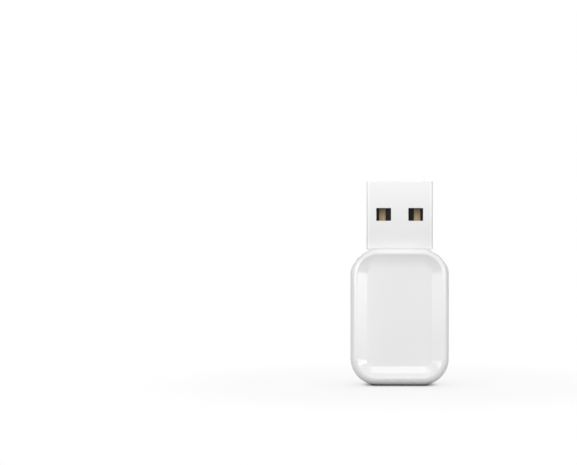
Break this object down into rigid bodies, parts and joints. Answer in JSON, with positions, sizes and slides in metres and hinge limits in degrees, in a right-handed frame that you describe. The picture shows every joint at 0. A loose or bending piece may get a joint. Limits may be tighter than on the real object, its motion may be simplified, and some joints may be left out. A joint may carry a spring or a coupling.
{
  "type": "usb radio stick",
  "caption": "Small white USB radio stick with a standard plug and a dished, round-cornered casing, holding its board, aerial and chips. Stands upright on its flat end.",
  "frame": {"origin": "middle of the flat end that the stick stands on", "axes": "+Z along the stick, towards the plug's mouth; -Y out of the front, whose plug face shows the contacts through its windows; X across the width"},
  "size_m": [0.0178, 0.008, 0.0368],
  "materials": {
    "white_plastic": "gloss moulded",
    "white_painted_steel": "satin gloss white over folded sheet",
    "black_plastic": "matt moulded",
    "gold_plate": "bright plated",
    "board": "solder resist over glass laminate",
    "chip_resin": "matt moulded",
    "crystal_can": "nickel plated",
    "capacitor_ceramic": "fired, with tinned ends",
    "inductor_ceramic": "fired, with tinned ends",
    "resistor_glaze": "glazed, with tinned ends",
    "ferrite": "fired, with tinned ends"
  },
  "bodies": {
    "root": {"front_shell": "white_plastic", "rear_shell": "white_plastic", "plug_shell": "white_painted_steel", "plug_insulator": "black_plastic", "contact_power": "gold_plate", "contact_data_minus": "gold_plate", "contact_data_plus": "gold_plate", "contact_ground": "gold_plate", "circuit_board": "board", "printed_aerial": "gold_plate", "radio_chip": "chip_resin", "radio_crystal": "crystal_can", "radio_capacitor_1": "capacitor_ceramic", "radio_capacitor_2": "capacitor_ceramic", "radio_capacitor_3": "capacitor_ceramic", "crystal_capacitor_1": "capacitor_ceramic", "crystal_capacitor_2": "capacitor_ceramic", "matching_inductor": "inductor_ceramic", "matching_capacitor_1": "capacitor_ceramic", "matching_capacitor_2": "capacitor_ceramic", "usb_serial_chip": "chip_resin", "voltage_regulator": "chip_resin", "supply_capacitor_1": "capacitor_ceramic", "supply_capacitor_2": "capacitor_ceramic", "surge_protector": "chip_resin", "data_resistor_minus": "resistor_glaze", "data_resistor_plus": "resistor_glaze", "supply_bead": "ferrite", "input_capacitor": "capacitor_ceramic"}
  },
  "joints": []
}
